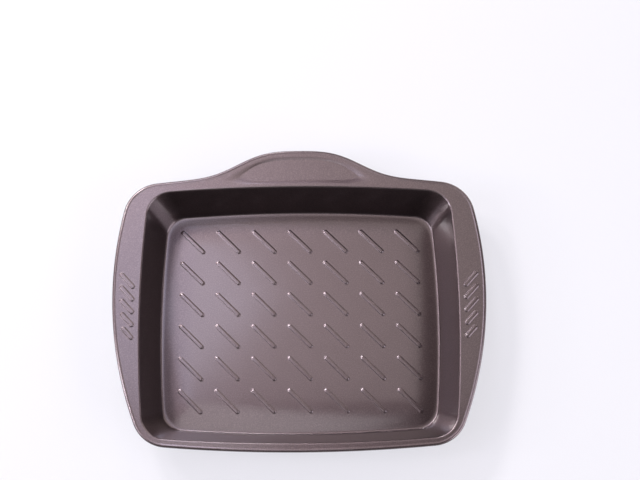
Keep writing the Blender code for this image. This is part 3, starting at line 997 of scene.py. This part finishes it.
def make_zinc():
    material, tree, shader = new_material("galvanised_wire")
    grain, clouds = add_grain(tree, ZINC_GRAIN_SIZE, ZINC_CLOUD_SIZE)
    cells = tree.nodes.new("ShaderNodeTexVoronoi")
    cells.inputs["Scale"].default_value = 1 / SPANGLE_SIZE
    place = tree.nodes.new("ShaderNodeTexCoord")
    tree.links.new(place.outputs["Object"], cells.inputs["Vector"])
    crystal = tree.nodes.new("ShaderNodeSeparateColor")
    tree.links.new(cells.outputs["Color"], crystal.inputs["Color"])
    shade = add_sum(tree, clouds, ZINC_CLOUD_SHARE, crystal.outputs["Red"])
    tint = add_colours(tree, shade, (0.0, ZINC_DARK), (1.0, ZINC_LIGHT))
    tree.links.new(tint, shader.inputs["Base Color"])
    dullness = add_range(tree, crystal.outputs["Green"], *ZINC_ROUGHNESS)
    tree.links.new(dullness, shader.inputs["Roughness"])
    shader.inputs["Metallic"].default_value = 1.0
    add_bump(tree, shader, grain, ZINC_GRAIN_DEPTH)
    return material


wire.data.materials.append(make_zinc())
print("wire nodes:", len(wire.data.materials[0].node_tree.nodes))

# %% [markdown]
# ## The stage
#
# The dish stands on a white table that is lit from below, as in a catalogue studio. That
# is why its shadow is so faint: the lamps give only part of the light that the table
# sends back, and the rest is its own glow. White paper under stronger lamps would be as
# bright, but its shadow would be much darker. Fibres keep the table from being a flat
# white.

# %% Table
TABLE_HALF_SIZE = 3.0
TABLE_FIBRE_DARK = (0.165, 0.165, 0.165, 1.0)
TABLE_FIBRE_LIGHT = (0.175, 0.175, 0.175, 1.0)
TABLE_GLOW = (0.598, 0.596, 0.634, 1.0)
TABLE_ROUGHNESS = 0.9
TABLE_GRAIN_SIZE = 0.0012
TABLE_CLOUD_SIZE = 0.2
TABLE_GRAIN_DEPTH = 0.00002


def make_table():
    bm = bmesh.new()
    bmesh.ops.create_grid(bm, x_segments=1, y_segments=1, size=TABLE_HALF_SIZE)
    mesh = bpy.data.meshes.new("light_table")
    bm.to_mesh(mesh)
    bm.free()
    material, tree, shader = new_material("white_paper")
    grain = add_grain(tree, TABLE_GRAIN_SIZE, TABLE_CLOUD_SIZE)[0]
    white = add_colours(tree, grain, (0.0, TABLE_FIBRE_DARK), (1.0, TABLE_FIBRE_LIGHT))
    tree.links.new(white, shader.inputs["Base Color"])
    shader.inputs["Emission Color"].default_value = TABLE_GLOW
    shader.inputs["Emission Strength"].default_value = 1.0
    shader.inputs["Roughness"].default_value = TABLE_ROUGHNESS
    add_bump(tree, shader, grain, TABLE_GRAIN_DEPTH)
    mesh.materials.append(material)
    return add_object("light_table", mesh)


table = make_table()
print("table, m:", 2 * TABLE_HALF_SIZE, "square")

# %% [markdown]
# ## The lights
#
# A dark, glossy thing shows its lights more than its own colour, so they were placed by
# what the photograph shows in the dish. The weak sheets near the zenith are what its
# flat parts mirror to the camera. The keys and spots at the left and the back light the
# right wall and the front wall, put a bright spot on the ends of the ribs and cast the
# shadow, and the low lights fill in the other walls. Each softbox faces the dish from
# the same distance. It is told by its lean from the zenith and its compass, counted
# from +X to +Y, both in degrees, and by its width, its power and its colour.

# %% Lights
SOFTBOX_DISTANCE = 1.7
DISH_MIDDLE = Vector((0.0, well_y, 0.02))
CLEAR = (1.0, 0.95, 1.0)
COOL = (0.74, 0.76, 1.0)
VIOLET = (0.92, 0.87, 1.0)
WARM = (1.0, 0.88, 0.87)


SOFTBOXES = (
    ("left_key", 48, 198, 0.70, 11.0, VIOLET),
    ("left_spot", 38, 180, 0.24, 5.0, VIOLET),
    ("back_key", 48, 144, 0.24, 10.8, CLEAR),
    ("back_key_low", 48, 126, 0.24, 17.2, CLEAR),
    ("back_spot", 38, 108, 0.24, 3.2, COOL),
    ("back_sheet", 19, 80, 0.90, 4.0, WARM),
    ("top_left_sheet", 14, 240, 0.70, 3.9, CLEAR),
    ("top_sheet", 20, 138, 0.50, 2.7, COOL),
    ("right_back_sheet", 74, 51, 1.20, 10.6, WARM),
    ("right_sheet", 60, 340, 1.20, 22.5, VIOLET),
    ("left_low_spot", 62, 184, 0.24, 7.0, CLEAR),
    ("back_low_spot", 62, 97, 0.24, 6.0, CLEAR),
    ("front_right_spot", 60, 316, 0.24, 2.5, CLEAR),
)


def add_softbox(name, lean, compass, width, power, colour):
    """A square soft light that faces the dish."""
    tilt = math.radians(lean)
    turn = math.radians(compass)
    level = math.sin(tilt)
    out = Vector((level * math.cos(turn), level * math.sin(turn), math.cos(tilt)))
    data = bpy.data.lights.new(name, "AREA")
    data.shape = "SQUARE"
    data.size = width
    data.energy = power
    data.color = colour
    light = bpy.data.objects.new(name, data)
    light.location = DISH_MIDDLE + out * SOFTBOX_DISTANCE
    light.rotation_mode = "QUATERNION"
    light.rotation_quaternion = out.to_track_quat("Z", "Y")
    bpy.context.scene.collection.objects.link(light)


for softbox in SOFTBOXES:
    add_softbox(*softbox)
print("softboxes:", len(SOFTBOXES))

# %% [markdown]
# ## The room
#
# Overhead the studio is dark, or the dish would lose its contrast. Its walls are pale:
# they are what a low view has behind the dish, and what the flat of the dish mirrors
# there. So the background is a ramp over the height of the direction that is looked in.

# %% Room
WALL_FOOT = (0.80, 0.80, 0.84, 1.0)
WALL_MIDDLE = (0.34, 0.34, 0.36, 1.0)
CEILING = (0.0, 0.0, 0.0, 1.0)
WALL_MIDDLE_HEIGHT = 0.25
CEILING_HEIGHT = 0.62


def make_room():
    world = bpy.data.worlds.new("pale_walls")
    world.use_nodes = True
    tree = world.node_tree
    direction = tree.nodes.new("ShaderNodeTexCoord").outputs["Generated"]
    split = tree.nodes.new("ShaderNodeSeparateXYZ")
    tree.links.new(direction, split.inputs["Vector"])
    glow = add_colours(
        tree, split.outputs["Z"],
        (0.0, WALL_FOOT), (WALL_MIDDLE_HEIGHT, WALL_MIDDLE), (CEILING_HEIGHT, CEILING))
    tree.links.new(glow, tree.nodes["Background"].inputs["Color"])
    return world


bpy.context.scene.world = make_room()
bpy.context.scene.view_settings.view_transform = "Standard"
print("room:", bpy.context.scene.world.name)
